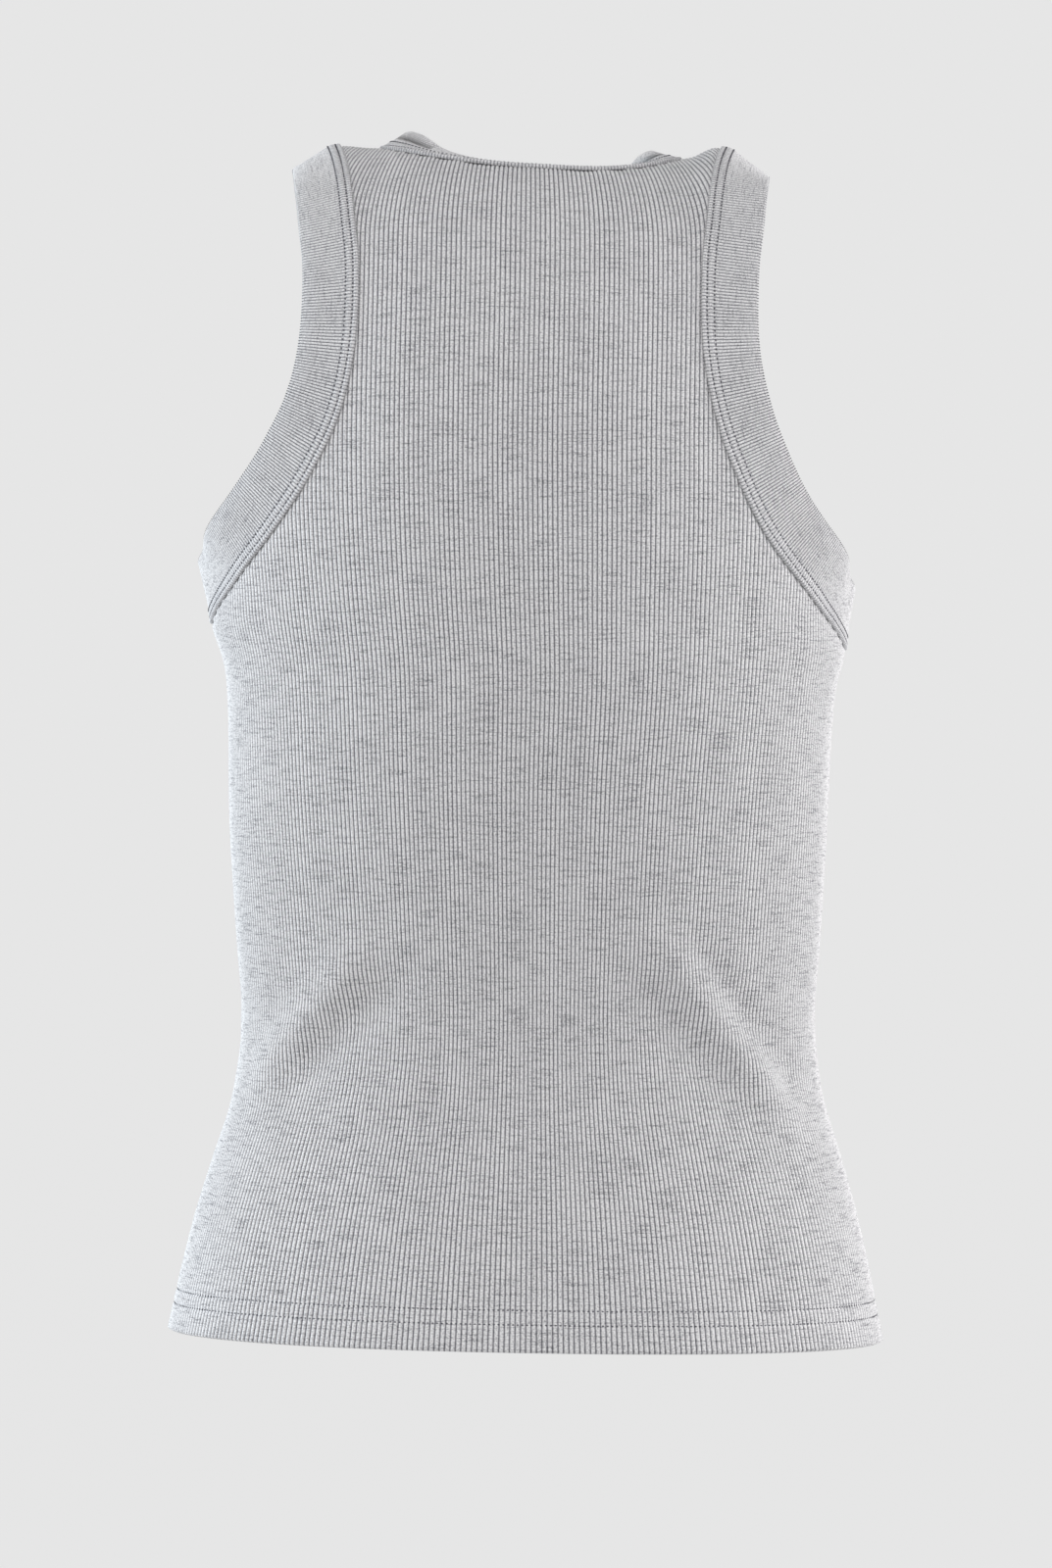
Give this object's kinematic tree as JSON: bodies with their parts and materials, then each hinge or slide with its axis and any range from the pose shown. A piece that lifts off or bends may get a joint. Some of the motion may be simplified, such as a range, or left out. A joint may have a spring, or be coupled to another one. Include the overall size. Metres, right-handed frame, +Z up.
{
  "type": "tank top",
  "caption": "Women's ribbed knit tank top with a high round neck and wide armhole bands, filled out as if worn.",
  "frame": {"origin": "Between the two shoulder straps, on their undersides, midway between the side seams.", "axes": "+Z up from the hem to the shoulders, -Y out of the front and +X to the wearer's left."},
  "size_m": [0.335, 0.22, 0.5658],
  "materials": {
    "rib_knit": "matt heather rib knit",
    "rib_band": "matt heather rib knit, folded double"
  },
  "bodies": {
    "root": {"back_panel": "rib_knit", "front_panel": "rib_knit", "armhole_band_left": "rib_band", "armhole_band_right": "rib_band", "neckband": "rib_band"}
  },
  "joints": []
}
